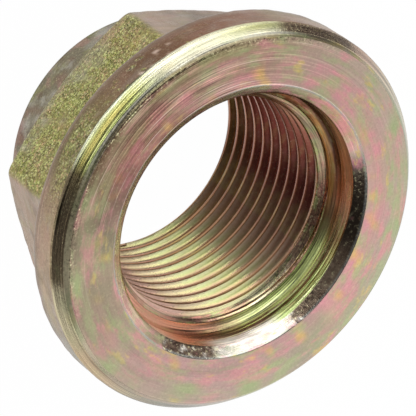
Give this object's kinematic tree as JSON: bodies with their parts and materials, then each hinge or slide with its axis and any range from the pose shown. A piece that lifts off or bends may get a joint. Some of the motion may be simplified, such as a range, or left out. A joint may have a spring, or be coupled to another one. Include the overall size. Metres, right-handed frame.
{
  "type": "flanged stake nut",
  "caption": "Flanged hexagon nut with a turned bearing face, a counterbore, a fine right-hand thread and a thin stake collar behind the hexagon, in yellow-plated steel.",
  "frame": {"origin": "centre of the rear end of the stake collar, on the axis of the thread", "axes": "+Z along the axis of the thread, from the stake collar towards the bearing face of the flange; two corners of the hexagon lie on X"},
  "size_m": [0.05, 0.05, 0.0265],
  "materials": {
    "plated_steel": "zinc plated and yellow chromated, iridescent, forged skin on the flats and turned faces"
  },
  "bodies": {
    "root": {"shaft_nut": "plated_steel"}
  },
  "joints": []
}
